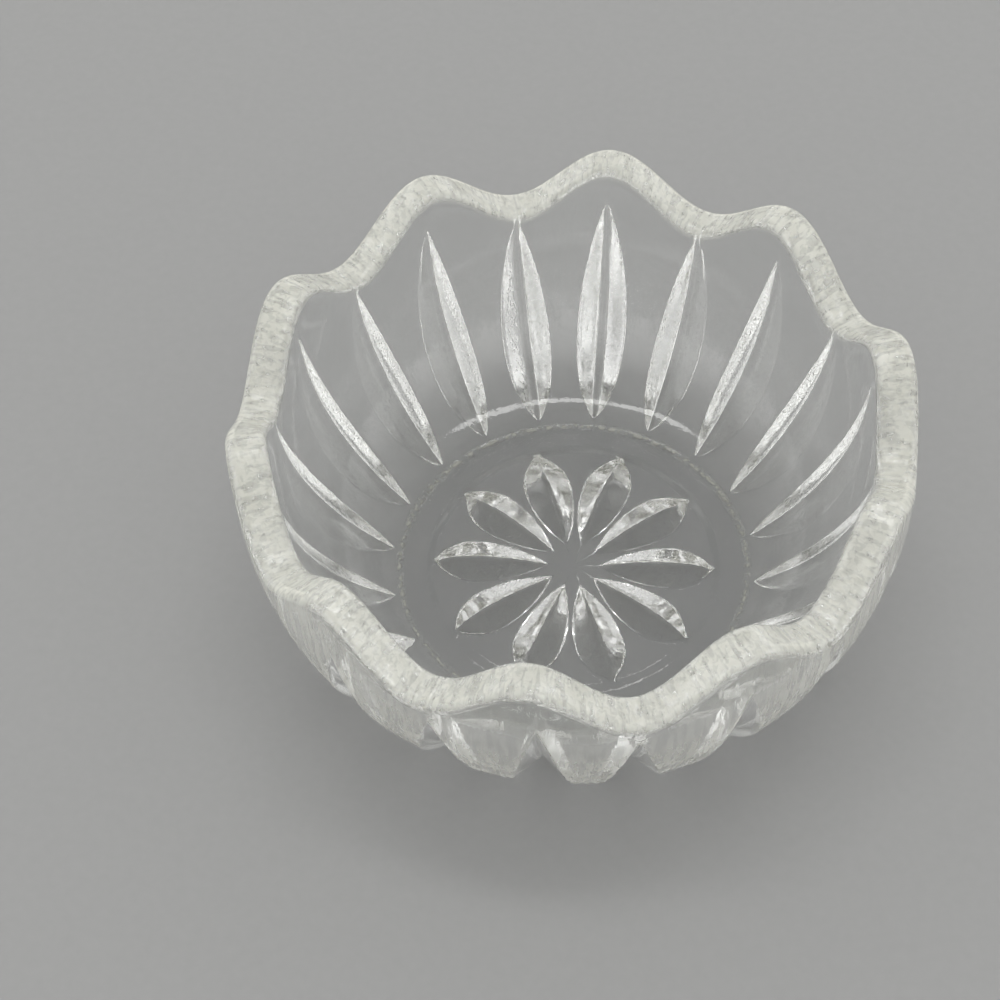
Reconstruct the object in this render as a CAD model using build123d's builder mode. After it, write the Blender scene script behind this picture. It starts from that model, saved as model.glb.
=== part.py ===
"""Cut-glass open salt cellar: one thick, clear glass bowl with a scalloped rim.

The bowl is blown into a mould as a smooth blank and then cut on the wheel: ten
scallops round the rim, twenty upright mitre flutes on the wall and a ten-petal
star under the base. It is a single piece of glass, so it is a single solid.
Millimetres, +Z up, origin at the middle of the ring that the bowl stands on.
"""

import os
from math import asin, cos, degrees, radians, sqrt, tan

from build123d import *

# Blank: radii run from the bowl's axis, heights from the table
RIM_RADIUS = 33.0
RIM_HEIGHT = 31.0
RIM_WALL = 4.0
UPRIGHT_BELOW_VALLEY = 0.8
FOOT_INSET = 14.6
FOOT_GRIND = 0.3
FOOT_RING_WIDTH = 2.9
RECESS_DEPTH = 0.25
RECESS_BEVEL = 0.5
FLOOR_INSET = 11.3
FLOOR_THICKNESS = 5.0

# Scallops: one valley between each pair of lobes
LOBES = 10
SCALLOP_DEPTH = 6.2
RIM_BEVEL = 0.7

# Flutes: one under each lobe and one under each valley, turned a little from them
FLUTE_DEPTH = 2.4
FLUTE_ANGLE = 95.0
FLUTE_TOP_BELOW_LOBE = 5.6
FLUTE_TOP_BELOW_VALLEY = 1.9
FLUTE_FOOT_GAP = 0.15
FLUTE_TURN = 0.8

# Star: as many petals as lobes, cut a few degrees round from the valleys
PETAL_HEART_RADIUS = 2.4
PETAL_MARGIN = 0.8
PETAL_BELLY = 0.64
PETAL_DEPTH = 1.85
PETAL_ANGLE = 110.0
STAR_TURN = 5.0

# How far a cutter reaches past the glass that it cuts
OVERCUT = 2.0

bore_radius = RIM_RADIUS - RIM_WALL
foot_radius = RIM_RADIUS - FOOT_INSET
recess_radius = foot_radius - FOOT_RING_WIDTH
floor_radius = bore_radius - FLOOR_INSET
floor_height = RECESS_DEPTH + FLOOR_THICKNESS
valley_height = RIM_HEIGHT - SCALLOP_DEPTH
upright_base = valley_height - UPRIGHT_BELOW_VALLEY
blank_top = RIM_HEIGHT + OVERCUT
lobe_pitch = 360 / LOBES

# The outer wall is an arc of an ellipse whose round bottom, FOOT_GRIND deep, is
# ground away to leave the flat foot
wall_drop = upright_base + FOOT_GRIND
foot_angle = asin(upright_base / wall_drop)
wall_swell = FOOT_INSET / (1 - cos(foot_angle))

# The smooth blank: an upright band under the rim, a wall that rounds in to the
# foot ring, and a round-cornered well with a flat floor inside
with BuildPart() as blank:
    with BuildSketch(Plane.XZ):
        with BuildLine():
            wall = EllipticalCenterArc(
                (RIM_RADIUS - wall_swell, upright_base),
                wall_swell,
                wall_drop,
                arc_size=-degrees(foot_angle),
            )
            well = EllipticalCenterArc(
                (floor_radius, upright_base),
                FLOOR_INSET,
                upright_base - floor_height,
                arc_size=-90,
            )
            Polyline(
                wall @ 1,
                (recess_radius, 0),
                (recess_radius - RECESS_BEVEL, RECESS_DEPTH),
                (0, RECESS_DEPTH),
                (0, floor_height),
                well @ 1,
            )
            Polyline(
                well @ 0,
                (bore_radius, blank_top),
                (RIM_RADIUS, blank_top),
                wall @ 0,
            )
        make_face()
    revolve(axis=Axis.Z)

# One scallop, cut in from the rim's edge: its wave widens with the radius, so
# the crests of the lobes are level from the inner edge to the outer one
with BuildPart() as scallop:
    for radius in (bore_radius - OVERCUT, RIM_RADIUS + OVERCUT):
        half_width = radius * tan(radians(lobe_pitch / 2))
        with BuildSketch(Plane.YZ.offset(radius)):
            with BuildLine():
                wave = Spline(
                    (-half_width, RIM_HEIGHT),
                    (0, valley_height),
                    (half_width, RIM_HEIGHT),
                    tangents=((1, 0), (1, 0), (1, 0)),
                )
                Polyline(
                    wave @ 1,
                    (half_width, blank_top + OVERCUT),
                    (-half_width, blank_top + OVERCUT),
                    wave @ 0,
                )
            make_face()
    loft(ruled=True)


def on_wall(height):
    """Point of the outer wall at a height: on the ellipse, or on the upright band above it."""
    drop = max(upright_base - height, 0) / wall_drop
    return Vector(RIM_RADIUS - wall_swell * (1 - sqrt(1 - drop**2)), height)


def mitre_flute(top_height):
    """V cut along a bowed line from a height on the wall down to the foot ring."""
    top = on_wall(top_height)
    foot = on_wall(FLUTE_FOOT_GAP)
    chord = (top - foot).normalized()
    outward = Vector(chord.Y, -chord.X)
    middle = on_wall((top.Y + foot.Y) / 2)
    clear = outward * ((middle - foot).dot(outward) + OVERCUT)
    lean = tan(radians(FLUTE_ANGLE / 2))
    with BuildPart() as flute:
        with BuildSketch(Plane.XZ) as face:
            with BuildLine():
                ThreePointArc(foot, middle - outward * FLUTE_DEPTH, top)
                Polyline(top, top + clear, foot + clear, foot)
            make_face()
        for side in (lean, -lean):
            flank = Vector(outward.X, side, outward.Y)
            extrude(face.sketch, amount=2 * clear.length * flank.length, dir=flank)
    return flute.part


lobe_flute = mitre_flute(RIM_HEIGHT - FLUTE_TOP_BELOW_LOBE)
valley_flute = mitre_flute(valley_height - FLUTE_TOP_BELOW_VALLEY)

# One petal of the star: a V cut, deepest past half-way out and blunt at its end
with BuildPart() as petal:
    inner_tip = Vector(PETAL_HEART_RADIUS, RECESS_DEPTH)
    outer_tip = Vector(recess_radius - PETAL_MARGIN, RECESS_DEPTH)
    deepest = inner_tip + (outer_tip - inner_tip) * PETAL_BELLY + Vector(0, PETAL_DEPTH)
    with BuildSketch(Plane.XZ) as keel_face:
        with BuildLine():
            TangentArc(deepest, inner_tip, tangent=(-1, 0))
            TangentArc(deepest, outer_tip, tangent=(1, 0))
            Line(outer_tip, inner_tip)
        make_face()
    petal_lean = tan(radians(PETAL_ANGLE / 2))
    for side in (petal_lean, -petal_lean):
        flank = Vector(0, side, -1)
        extrude(keel_face.sketch, amount=2 * PETAL_DEPTH * flank.length, dir=flank)

# The bowl: the blank with its rim scalloped and bevelled, then its wall and its
# base cut. A valley of the rim lies on +X, so a lobe lies on +Y and on -Y
with BuildPart() as bowl:
    add(blank)
    with PolarLocations(0, LOBES):
        add(scallop.part, mode=Mode.SUBTRACT)
    waves = bowl.edges().filter_by(GeomType.BSPLINE)
    crests = waves.group_by(Axis.Z)[-1]
    chamfer(waves - crests, RIM_BEVEL)
    with PolarLocations(0, LOBES, start_angle=FLUTE_TURN):
        add(valley_flute, mode=Mode.SUBTRACT)
    with PolarLocations(0, LOBES, start_angle=FLUTE_TURN + lobe_pitch / 2):
        add(lobe_flute, mode=Mode.SUBTRACT)
    with PolarLocations(0, LOBES, start_angle=STAR_TURN):
        add(petal.part, mode=Mode.SUBTRACT)

os.makedirs("parts", exist_ok=True)
bowl.part.label = "bowl"
export_step(bowl.part, "parts/bowl.step")
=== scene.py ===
from math import asin, cos, pi, radians, tan

import bpy
import numpy as np
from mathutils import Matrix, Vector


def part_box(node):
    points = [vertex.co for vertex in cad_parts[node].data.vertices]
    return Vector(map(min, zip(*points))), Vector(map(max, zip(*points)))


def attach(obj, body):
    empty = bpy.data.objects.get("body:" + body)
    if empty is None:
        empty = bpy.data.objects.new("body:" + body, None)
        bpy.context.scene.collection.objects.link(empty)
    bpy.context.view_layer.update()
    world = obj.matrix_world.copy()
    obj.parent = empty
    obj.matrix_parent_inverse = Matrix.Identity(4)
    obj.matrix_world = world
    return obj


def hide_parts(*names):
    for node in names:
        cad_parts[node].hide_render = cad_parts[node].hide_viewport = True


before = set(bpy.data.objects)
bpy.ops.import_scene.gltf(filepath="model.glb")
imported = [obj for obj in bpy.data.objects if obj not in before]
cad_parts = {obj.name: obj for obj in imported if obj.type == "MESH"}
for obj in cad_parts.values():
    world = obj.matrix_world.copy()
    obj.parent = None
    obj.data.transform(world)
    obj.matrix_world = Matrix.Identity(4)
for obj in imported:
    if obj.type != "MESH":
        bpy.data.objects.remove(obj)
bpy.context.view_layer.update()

# Bowl: the whole salt cellar is one piece of thick, clear lead crystal. It is
# blown into a mould as a smooth blank, then stone wheels scallop its rim, flute
# its wall and cut a star under its base, and the cuts are polished.
high_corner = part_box("bowl")[1]
RIM_RADIUS = float(high_corner[1])
RIM_HEIGHT = float(high_corner[2])
RIM_WALL = 0.004
RIM_ROUNDING = 0.0011
UPRIGHT_BELOW_VALLEY = 0.0008
BAND_BELOW_UPRIGHT = 0.0025
FOOT_INSET = 0.0146
FOOT_GRIND = 0.0003
FOOT_RING_WIDTH = 0.0029
RECESS_DEPTH = 0.00025
RECESS_BEVEL = 0.001
FLOOR_INSET = 0.0113
FLOOR_THICKNESS = 0.005
LOBES = 10
SCALLOP_DEPTH = 0.0062
FLUTE_DEPTH = 0.0024
FLUTE_ANGLE = radians(95)
FLUTE_TOP_BELOW_LOBE = 0.0056
FLUTE_TOP_BELOW_VALLEY = 0.0019
FLUTE_FOOT_GAP = 0.00015
FLUTE_TURN = radians(0.8)
PETAL_HEART_RADIUS = 0.0024
PETAL_MARGIN = 0.0008
PETAL_BELLY = 0.64
PETAL_DEPTH = 0.00185
PETAL_ANGLE = radians(110)
STAR_TURN = radians(5)

# Polishing rounds the keel and the edges of each cut. The cuts are made by hand,
# so each flute strays a little round the wall and up or down it. A thin white line
# on the outer edge of the foot is partly wear and partly a painted highlight, for
# light that the rounded edge reflects inside the glass
KEEL_ROUND = 0.00016
CUT_EDGE = 0.0001
HAND_SEED = 173308
FLUTE_STRAY = radians(1.3)
TOP_STRAY = 0.0003
WEAR_AND_HIGHLIGHT_RISE = 0.00012
WEAR_AND_HIGHLIGHT_WIDTH = 0.0006

bore_radius = RIM_RADIUS - RIM_WALL
foot_radius = RIM_RADIUS - FOOT_INSET
recess_radius = foot_radius - FOOT_RING_WIDTH
floor_radius = bore_radius - FLOOR_INSET
floor_height = RECESS_DEPTH + FLOOR_THICKNESS
valley_height = RIM_HEIGHT - SCALLOP_DEPTH
upright_base = valley_height - UPRIGHT_BELOW_VALLEY
wall_drop = upright_base + FOOT_GRIND
foot_angle = asin(upright_base / wall_drop)
wall_swell = FOOT_INSET / (1 - cos(foot_angle))
sectors = 2 * LOBES
pitch = 2 * pi / sectors

# Columns of the surface run round the bowl in twenty sectors, one to a flute. On
# either side of the keel, FLANK columns reach the edge of the cut, and LAND
# columns go on to the end of the sector
FLANK = 6
LAND = 4
reach = FLANK + LAND
column = np.arange(sectors * 2 * reach)
sector = column // (2 * reach)
step = column % (2 * reach) - reach
away = np.abs(step)
side = np.where(step < 0, -1.0, 1.0)
under_valley = sector % 2 == 0
flank_share = (1 - np.cos(pi * np.minimum(away, FLANK) / FLANK)) / 2
land_share = 1 - np.cos(pi / 2 * np.maximum(away - FLANK, 0) / LAND)
hand = np.random.default_rng(HAND_SEED).uniform(-1, 1, (2, sectors))
keel_angle = sector * pitch + FLUTE_TURN + FLUTE_STRAY * hand[0, sector]
plain_width = pitch / 4

# Rows of the surface run from the middle of the well's floor up to the rim, over
# it, down the outside and in under the base to the heart of the star
FLOOR_ROWS = 6
WELL_ROWS = 32
WELL_BAND_ROWS = 10
EASE_ROWS = 8
FLAT_ROWS = 4
BAND_ROWS = 18
WALL_ROWS = 80
RING_ROWS = 8
BEVEL_ROWS = 4
STAR_ROWS = 45
rows = []


def steps(start, end, count):
    """Evenly spaced values after start and up to end, one to a row."""
    return np.linspace(start, end, count + 1)[1:, None]


def add_rows(radius, height, angle, rim=0.0, cut=0.0, foot=0.0, outside=0.0):
    """Adds rows of the surface, rows by columns. The last four values say how each point is finished."""
    rows.append(np.stack(np.broadcast_arrays(radius, height, angle, rim, cut, foot, outside), axis=-1))


def column_angles(width):
    """Angle of each column: the flank's share of a cut's half-width, then the land's share of the rest."""
    land = pitch / 2 - width
    stray = (keel_angle - sector * pitch) * (1 - land_share)
    return sector * pitch + stray + side * (flank_share * width + land_share * land)


def rim_wave(angle):
    """Height of the rim at an angle: a cosine wave with a valley on every other sector."""
    return RIM_HEIGHT - SCALLOP_DEPTH / 2 * (1 + np.cos(LOBES * angle))


# The edge of the rim follows its wave. The rows of the band below it start level
# over each flute, and the bend sets how late they turn to the wave
BAND_BEND = 4
even_angles = column_angles(plain_width)
rim_line = rim_wave(even_angles)
rim_edge = rim_line - RIM_ROUNDING
keel_edge = rim_wave(keel_angle) - RIM_ROUNDING
level_edge = keel_edge + land_share * (rim_wave(pitch / 2) - RIM_ROUNDING - keel_edge)
band_base = upright_base - BAND_BELOW_UPRIGHT


def band_rows(share):
    """Heights of rows a share of the way up the band: level over a flute, then bent to the rim's wave."""
    return band_base + share * (level_edge - band_base) + share**BAND_BEND * (rim_edge - level_edge)


def side_radius(top_radius, swell, drop, height):
    """Radius of the blank at a height: upright at its top, and a quarter of an ellipse below that."""
    fall = np.maximum(upright_base - height, 0) / drop
    return top_radius - swell * (1 - np.sqrt(1 - fall**2))


# Inside: the flat floor, the round-cornered well, and above it a band of rows
# that go over from level to the wave of the rim
add_rows(steps(0, floor_radius, FLOOR_ROWS), floor_height, even_angles)
well_drop = upright_base - floor_height
well_turn = steps(pi / 2, asin(BAND_BELOW_UPRIGHT / well_drop), WELL_ROWS)
well_radius = floor_radius + FLOOR_INSET * np.cos(well_turn)
add_rows(well_radius, upright_base - well_drop * np.sin(well_turn), even_angles)
band_height = band_rows(steps(0, 1, WELL_BAND_ROWS))
add_rows(side_radius(bore_radius, FLOOR_INSET, well_drop, band_height), band_height, even_angles)

# Rim: the ground flat of the scallops between two eased edges
ease = steps(0, pi / 2, EASE_ROWS)
inner_edge = bore_radius + RIM_ROUNDING * (1 - np.cos(ease))
add_rows(inner_edge, rim_line - RIM_ROUNDING * (1 - np.sin(ease)), even_angles, rim=np.sin(ease))
rim_flat = steps(bore_radius + RIM_ROUNDING, RIM_RADIUS - RIM_ROUNDING, FLAT_ROWS)
add_rows(rim_flat, rim_line, even_angles, rim=1.0)
outer_edge = RIM_RADIUS - RIM_ROUNDING * (1 - np.sin(ease))
outer_fall = RIM_ROUNDING * (1 - np.cos(ease))
add_rows(outer_edge, rim_line - outer_fall, even_angles, rim=np.cos(ease), outside=1.0)

# Each flute's keel is an arc over a chord from the foot to the flute's top
valley_top = valley_height - FLUTE_TOP_BELOW_VALLEY
lobe_top = RIM_HEIGHT - FLUTE_TOP_BELOW_LOBE
flute_top = np.where(under_valley, valley_top, lobe_top) + TOP_STRAY * hand[1, sector]
keel_foot = side_radius(RIM_RADIUS, wall_swell, wall_drop, FLUTE_FOOT_GAP)
chord_out = side_radius(RIM_RADIUS, wall_swell, wall_drop, flute_top) - keel_foot
chord_up = flute_top - FLUTE_FOOT_GAP
chord = np.hypot(chord_out, chord_up)
along_out = chord_out / chord
along_up = chord_up / chord
middle_height = (flute_top + FLUTE_FOOT_GAP) / 2
middle_radius = side_radius(RIM_RADIUS, wall_swell, wall_drop, middle_height)
middle_out = middle_radius - keel_foot - FLUTE_DEPTH * along_up
middle_up = middle_height - FLUTE_FOOT_GAP + FLUTE_DEPTH * along_out
bow = middle_out * along_up - middle_up * along_out
half_way = middle_out * along_out + middle_up * along_up
keel_centre = (half_way**2 - half_way * chord + bow**2) / (2 * bow)
keel_bend = np.hypot(chord / 2, keel_centre)


def flute_depth(x, y, z):
    """How far a point stands out of its flute: its height over the keel's arc, less the flank's rise."""
    rise = (x - keel_foot) * along_up - (z - FLUTE_FOOT_GAP) * along_out
    run = (x - keel_foot) * along_out + (z - FLUTE_FOOT_GAP) * along_up
    arc = np.sqrt(np.maximum(keel_bend**2 - (run - chord / 2) ** 2, 0))
    keel = keel_centre - np.sign(keel_centre) * arc
    return rise - keel - np.hypot(y, KEEL_ROUND) / tan(FLUTE_ANGLE / 2)


def eased(depth):
    """A cut's depth with a polished edge: a hyperbola from nought outside the cut to the depth inside."""
    return (depth + np.hypot(depth, CUT_EDGE)) / 2


# Outside: the blank's rows from the rim to the foot, with columns drawn in to
# each cut's edge by a few rounds of Newton's rule, and then sunk into the flutes
FLUTE_ROUNDS = 6
band_share = np.vstack([steps(1, 0, BAND_ROWS), np.zeros((WALL_ROWS, 1))])
wall_turn = steps(asin(BAND_BELOW_UPRIGHT / wall_drop), foot_angle, WALL_ROWS)
wall_fall = np.vstack([np.zeros((BAND_ROWS, 1)), wall_drop * np.sin(wall_turn) - BAND_BELOW_UPRIGHT])
blank_height = band_rows(band_share) - wall_fall
blank_radius = side_radius(RIM_RADIUS, wall_swell, wall_drop, blank_height)
half_width = np.full_like(blank_height, CUT_EDGE)
for _ in range(FLUTE_ROUNDS):
    depth = flute_depth(np.sqrt(blank_radius**2 - half_width**2), half_width, blank_height)
    half_width = np.maximum(half_width + depth * tan(FLUTE_ANGLE / 2), CUT_EDGE)
top_share = (flute_top - band_base) / (keel_edge - band_base)
over_top = np.clip((band_share - top_share) / (1 - top_share), 0, 1)
wall_angles = column_angles(half_width / blank_radius * (1 - over_top) + plain_width * over_top)
x = blank_radius * np.cos(wall_angles - keel_angle)
y = blank_radius * np.sin(wall_angles - keel_angle)
sunk = eased(flute_depth(x, y, blank_height))
x = x - sunk * along_up
z = blank_height + sunk * along_out
in_cut = np.clip(sunk / CUT_EDGE - 1, 0, 1)
# Wear and painted highlight: white on the lowest rows of the wall, at the foot's edge
wear_and_highlight = np.clip(1 - blank_height / WEAR_AND_HIGHLIGHT_RISE, 0, 1)
add_rows(np.hypot(x, y), z, keel_angle + np.arctan2(y, x), cut=in_cut, foot=wear_and_highlight, outside=1 - in_cut)


def star_angles(edge):
    """Angle of each column: a petal out to its edge on every other sector, and land on those between."""
    petal = (1 - np.cos(pi * away / reach)) / 2 * edge
    land = away / reach * (pitch - edge)
    return sector * pitch + side * np.where(under_valley, petal, land) + STAR_TURN


# Underside: the foot ring, on which the columns swing round from the flutes to
# the petals. Its rows crowd towards the outer edge, which is worn and carries a painted highlight
RING_CROWDING = 1.5
ring = steps(0, 1, RING_ROWS) ** RING_CROWDING
ring_angles = (1 - ring) * wall_angles[-1] + ring * star_angles(plain_width * 2)
# Wear and painted highlight: white on the ring's outer edge
wear_and_highlight = np.clip(1 - ring * FOOT_RING_WIDTH / WEAR_AND_HIGHLIGHT_WIDTH, 0, 1)
add_rows(foot_radius - ring * FOOT_RING_WIDTH, 0.0, ring_angles, foot=wear_and_highlight)

# Each petal's keel is two arcs that meet level at its deepest point
petal_tip = recess_radius - PETAL_MARGIN
belly_radius = PETAL_HEART_RADIUS + PETAL_BELLY * (petal_tip - PETAL_HEART_RADIUS)
inner_bend = ((belly_radius - PETAL_HEART_RADIUS) ** 2 + PETAL_DEPTH**2) / (2 * PETAL_DEPTH)
outer_bend = ((petal_tip - belly_radius) ** 2 + PETAL_DEPTH**2) / (2 * PETAL_DEPTH)


def petal_height(x, y):
    """Height of a petal's V: the keel's arc, less the fall of its flanks away from the keel."""
    bend = np.where(x < belly_radius, inner_bend, outer_bend)
    keel = PETAL_DEPTH - bend + np.sqrt(np.maximum(bend**2 - (x - belly_radius) ** 2, 0))
    return RECESS_DEPTH + keel - np.hypot(y, KEEL_ROUND) / tan(PETAL_ANGLE / 2)


# Recess: its bevel and its flat, with columns drawn in to the edges of the petals,
# which stay clear of their own keels and of each other, and then sunk into them
PETAL_ROUNDS = 12
LEAST_EDGE = 0.01
MOST_EDGE = 0.98 * pitch
bevel_radius = recess_radius - RECESS_BEVEL
bevel_steps = steps(recess_radius, bevel_radius, BEVEL_ROWS)
star_radius = np.vstack([bevel_steps, steps(bevel_radius, 0, STAR_ROWS)[:-1]])
base_height = RECESS_DEPTH * np.clip((recess_radius - star_radius) / RECESS_BEVEL, 0, 1)
petal_edge = np.full_like(star_radius, plain_width)
for _ in range(PETAL_ROUNDS):
    depth = petal_height(star_radius * np.cos(petal_edge), 0.0) - base_height
    reach_out = np.clip(depth * tan(PETAL_ANGLE / 2) / star_radius, 0, 1)
    petal_edge = np.clip(np.arcsin(reach_out), LEAST_EDGE, MOST_EDGE)
past_tip = np.clip((star_radius - petal_tip) / (recess_radius - petal_tip), 0, 1)
petal_angles = star_angles(petal_edge * (1 - past_tip) + plain_width * 2 * past_tip)
petal_keel = np.where(under_valley, sector, sector - side) * pitch + STAR_TURN
from_keel = petal_angles - petal_keel
sunk = eased(petal_height(star_radius * np.cos(from_keel), star_radius * np.sin(from_keel)) - base_height)
add_rows(star_radius, base_height + sunk, petal_angles, cut=np.clip(sunk / CUT_EDGE - 1, 0, 1))

# The rows join into one closed skin, with a fan of triangles at the middle of the
# well's floor and another at the heart of the star
surface = np.concatenate(rows)
radius, height, angle = np.moveaxis(surface[..., :3], -1, 0)
points = np.stack([radius * np.cos(angle), radius * np.sin(angle), height], axis=-1).reshape(-1, 3)
grid = np.arange(len(points)).reshape(radius.shape)
beside = np.roll(grid, -1, axis=1)
quads = np.stack([grid[:-1], grid[1:], beside[1:], beside[:-1]], axis=-1).reshape(-1, 4)
floor_fan = np.stack([np.full_like(column, len(points)), grid[0], beside[0]], axis=-1)
star_fan = np.stack([np.full_like(column, len(points) + 1), beside[-1], grid[-1]], axis=-1)
points = np.vstack([points, (0, 0, floor_height), (0, 0, RECESS_DEPTH)])
finish = np.vstack([surface[..., 3:].reshape(-1, 4), np.zeros((2, 4))])

bowl_mesh = bpy.data.meshes.new("cut_bowl")
bowl_mesh.from_pydata(points.tolist(), [], quads.tolist() + floor_fan.tolist() + star_fan.tolist())
bowl_mesh.shade_smooth()
bowl_mesh.attributes.new("finish", "FLOAT_COLOR", "POINT").data.foreach_set("color", finish.ravel())
cut_bowl = bpy.data.objects.new("cut_bowl", bowl_mesh)
bpy.context.scene.collection.objects.link(cut_bowl)


class Wire:
    """An output socket of a shader tree. Sums on wires and numbers add Math nodes to the tree."""

    def __init__(self, tree, socket=None):
        self.tree = tree
        self.socket = socket

    def add(self, kind, settings, sockets, output=0):
        """Adds a node of a type, sets it up, then fills its sockets with numbers, colours or wires."""
        node = self.tree.nodes.new("ShaderNode" + kind)
        for name, value in settings.items():
            setattr(node, name, value)
        for name, value in sockets.items():
            if isinstance(value, Wire):
                self.tree.links.new(value.socket, node.inputs[name])
            else:
                node.inputs[name].default_value = value
        return Wire(self.tree, node.outputs[output] if node.outputs else None)

    def other(self, output):
        """Another output of the node that this wire comes from."""
        return Wire(self.tree, self.socket.node.outputs[output])

    def sum(self, operation, first, second):
        """A Math node on two wires or numbers."""
        return self.add("Math", {"operation": operation}, {0: first, 1: second})

    def __add__(self, other):
        return self.sum("ADD", self, other)

    def __radd__(self, other):
        return self.sum("ADD", other, self)

    def __sub__(self, other):
        return self.sum("SUBTRACT", self, other)

    def __rsub__(self, other):
        return self.sum("SUBTRACT", other, self)

    def __mul__(self, other):
        return self.sum("MULTIPLY", self, other)

    def __rmul__(self, other):
        return self.sum("MULTIPLY", other, self)

    def smooth(self, low, high):
        """A smooth step from nought at low to one at high."""
        sockets = {"Value": self, "From Min": low, "From Max": high}
        return self.add("MapRange", {"interpolation_type": "SMOOTHSTEP"}, sockets)


# Crystal: clear where it is polished, faintly sugary in the cuts, and ground pale
# with clear ticks and flecks along the rim. Where its outside turns away from the view
# it has a pale haze with clear ripples in it: partly the mould's roughness, partly
# painted sheen for light that the wall reflects inside it
crystal = bpy.data.materials.new("cut_crystal")
crystal.use_nodes = True
crystal.node_tree.nodes.clear()
tree = Wire(crystal.node_tree)
place = tree.add("TexCoord", {}, {}, "Object")
finish_of = tree.add("Attribute", {"attribute_name": "finish"}, {}, "Color")
on_rim = tree.add("SeparateColor", {}, {0: finish_of}, "Red")
on_cut = on_rim.other("Green")
on_foot = on_rim.other("Blue")
on_outside = finish_of.other("Alpha")

# Flecks lie at random in the ground rim, and ticks run across it, because their
# noise changes little along a radius
flecks = tree.add("TexNoise", {}, {"Vector": place, "Scale": 1500.0, "Detail": 2.0, "Distortion": 0.6})
level = tree.add("VectorMath", {"operation": "MULTIPLY"}, {0: place, 1: (1, 1, 0)}, "Vector")
spoke = tree.add("VectorMath", {"operation": "NORMALIZE"}, {0: level}, "Vector")
spoke = tree.add("VectorMath", {"operation": "SCALE"}, {0: spoke, "Scale": RIM_RADIUS}, "Vector")
spoke = tree.add("Mix", {"data_type": "VECTOR"}, {"Factor": 0.25, "A": spoke, "B": place}, "Result")
ticks = tree.add("TexNoise", {}, {"Vector": spoke, "Scale": 1900.0, "Detail": 2.0})

# Sugar is the fine grain that the wheel leaves in a cut. Ripples are drawn out
# upright on the wall, and the sway is the slow waviness of blown glass
sugar = tree.add("TexNoise", {}, {"Vector": place, "Scale": 2600.0, "Detail": 2.0})
stretched = tree.add("Mapping", {}, {"Vector": place, "Scale": (1.0, 1.0, 0.1)})
ripple = tree.add("TexNoise", {}, {"Vector": stretched, "Scale": 1900.0, "Detail": 2.0, "Distortion": 0.4})
sway = tree.add("TexNoise", {}, {"Vector": place, "Scale": 150.0, "Detail": 1.0})

# Each frost is the share of white ground glass that is mixed with the clear glass.
# On the outside it is also painted sheen, and on the foot's edge also painted highlight
slant = tree.add("LayerWeight", {}, {"Blend": 0.5}, "Facing")
rim_frost = on_rim * (0.57 - 0.13 * flecks.smooth(0.46, 0.62) - 0.19 * ticks.smooth(0.46, 0.62))
cut_frost = on_cut * (0.03 + 0.1 * sugar.smooth(0.5, 0.68))
# Wear and painted highlight: a broken white line along the foot's outer edge
foot_wear_and_highlight = on_foot * 0.7 * flecks.smooth(0.4, 0.6)
# Haze and painted sheen: white mixed in on the outside as it turns from the view, for mould roughness and
# for light reflected inside the wall
haze_and_painted_sheen = on_outside * slant.smooth(0.32, 0.85) * (0.48 - 0.22 * ripple.smooth(0.42, 0.64))
grain = on_rim * (2.0 * flecks + 3.0 * ticks) + on_cut * (0.5 * sugar + 0.4 * ripple)
grain = grain + (1.0 - on_cut) * (1.2 * ripple + 6.0 * sway)
bump = tree.add("Bump", {}, {"Strength": 0.35, "Distance": 0.00004, "Height": grain})
clear = tree.add(
    "BsdfPrincipled",
    {},
    {
        "Base Color": (0.985, 0.99, 0.985, 1),
        "Roughness": 0.02 + 0.04 * on_rim + 0.02 * on_cut,
        "IOR": 1.545,
        "Transmission Weight": 1.0,
        "Normal": bump,
    },
)
# White ground glass, also the painted white of the outside's sheen and of the foot's highlight
frost_and_painted_white = tree.add(
    "BsdfPrincipled",
    {},
    {"Base Color": (0.92, 0.92, 0.83, 1), "Roughness": 0.25, "Normal": bump},
)
mixed = tree.add("MixShader", {}, {0: rim_frost + cut_frost + foot_wear_and_highlight + haze_and_painted_sheen, 1: clear, 2: frost_and_painted_white})
tree.add("OutputMaterial", {}, {"Surface": mixed})
bowl_mesh.materials.append(crystal)
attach(cut_bowl, "root")
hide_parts("bowl")

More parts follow.
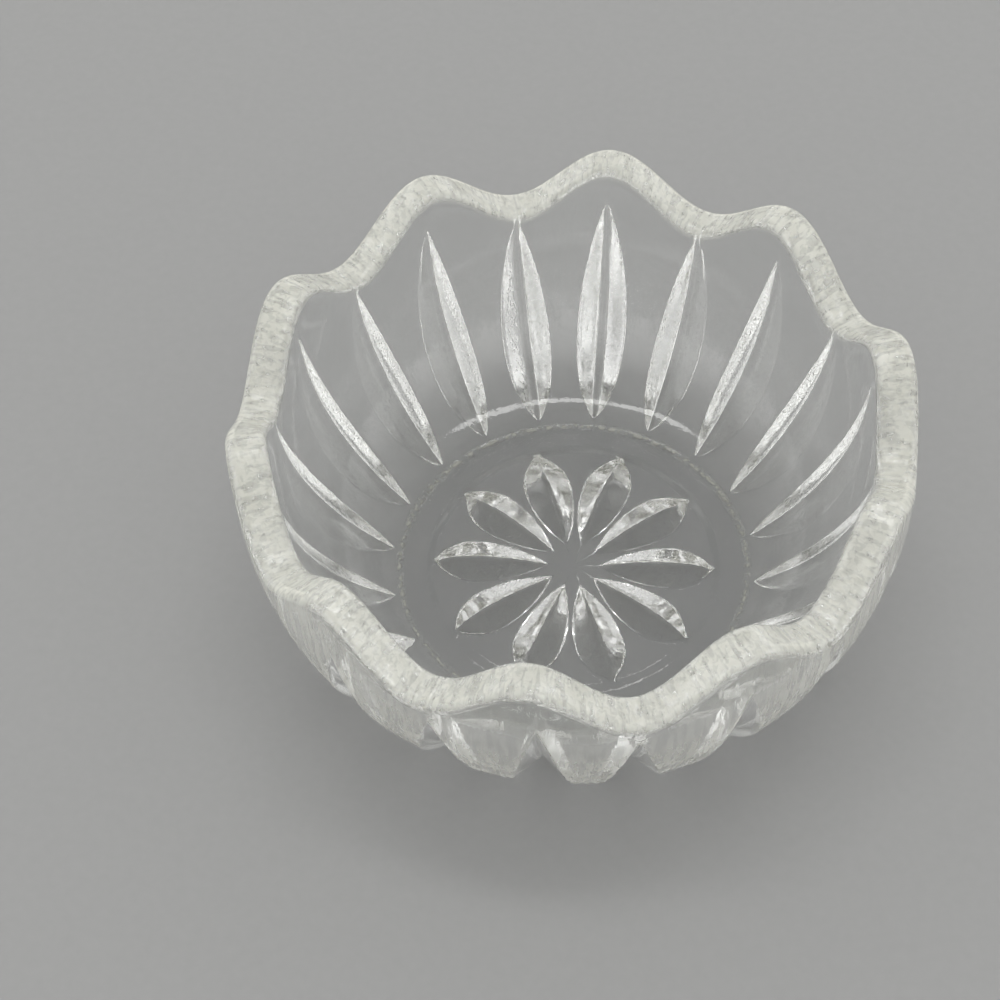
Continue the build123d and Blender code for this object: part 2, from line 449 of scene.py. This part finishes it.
# Floor: a plain pale grey sheet, a hair below the foot so that the glass keeps
# its own lower face
PAPER_RADIUS = 3.0
PAPER_SIDES = 96
PAPER_GAP = 0.00015
around = np.linspace(0, 2 * pi, PAPER_SIDES + 1)[:-1]
paper_level = np.full_like(around, -PAPER_GAP)
paper_edge = np.stack([PAPER_RADIUS * np.cos(around), PAPER_RADIUS * np.sin(around), paper_level], axis=-1)
floor_mesh = bpy.data.meshes.new("floor")
floor_mesh.from_pydata(paper_edge.tolist(), [], [list(range(len(around)))])
floor = bpy.data.objects.new("floor", floor_mesh)
bpy.context.scene.collection.objects.link(floor)
paper = bpy.data.materials.new("pale_paper")
paper.use_nodes = True
paper.node_tree.nodes.clear()
tree = Wire(paper.node_tree)
place = tree.add("TexCoord", {}, {}, "Object")
tooth = tree.add("TexNoise", {}, {"Vector": place, "Scale": 900.0, "Detail": 3.0})
shade = tree.add(
    "Mix",
    {"data_type": "RGBA"},
    {"Factor": tooth, "A": (0.38, 0.38, 0.38, 1), "B": (0.41, 0.41, 0.41, 1)},
    "Result",
)
sheet = tree.add("BsdfPrincipled", {}, {"Base Color": shade, "Roughness": 0.9})
tree.add("OutputMaterial", {}, {"Surface": sheet})
floor_mesh.materials.append(paper)

# Studio: a soft white dome, brighter towards the horizon, which lights the cuts,
# with one long soft lamp almost straight overhead, from left to right
LAMP_BACK = 0.15
studio = bpy.data.worlds.new("studio")
bpy.context.scene.world = studio
studio.use_nodes = True
studio.node_tree.nodes.clear()
tree = Wire(studio.node_tree)
towards = tree.add("TexCoord", {}, {}, "Generated")
rise = tree.add("SeparateXYZ", {}, {0: towards}, "Z")
along = rise.other("X")
aside = rise.other("Y") - LAMP_BACK
dome = 1.4 - 0.7 * rise.smooth(0.05, 0.6)

# The lamp fades out over these squares of the way to its ends and to its edges
lamp_length = (along * along).smooth(0.12, 0.08)
lamp_width = (aside * aside).smooth(0.0045, 0.0025)
lamp = 6.0 * lamp_length * lamp_width
sky = tree.add("Background", {}, {"Color": (1, 1, 0.985, 1), "Strength": dome + lamp})
tree.add("OutputWorld", {}, {"Surface": sky})

# Camera: close by and above, where the photograph was taken from
camera_data = bpy.data.cameras.new("camera")
camera_data.sensor_width = 36.0
camera_data.lens = 78.878
camera_data.clip_start = 0.005
camera = bpy.data.objects.new("camera", camera_data)
camera.location = (0.016437, -0.126472, 0.193708)
camera.rotation_euler = (radians(35.405), radians(1.646), radians(8.384))
bpy.context.scene.collection.objects.link(camera)

# Light crosses many faces of the glass before it leaves
GLASS_BOUNCES = 32
scene = bpy.context.scene
scene.camera = camera
scene.view_settings.view_transform = "Standard"
scene.cycles.max_bounces = GLASS_BOUNCES
scene.cycles.glossy_bounces = GLASS_BOUNCES
scene.cycles.transmission_bounces = GLASS_BOUNCES
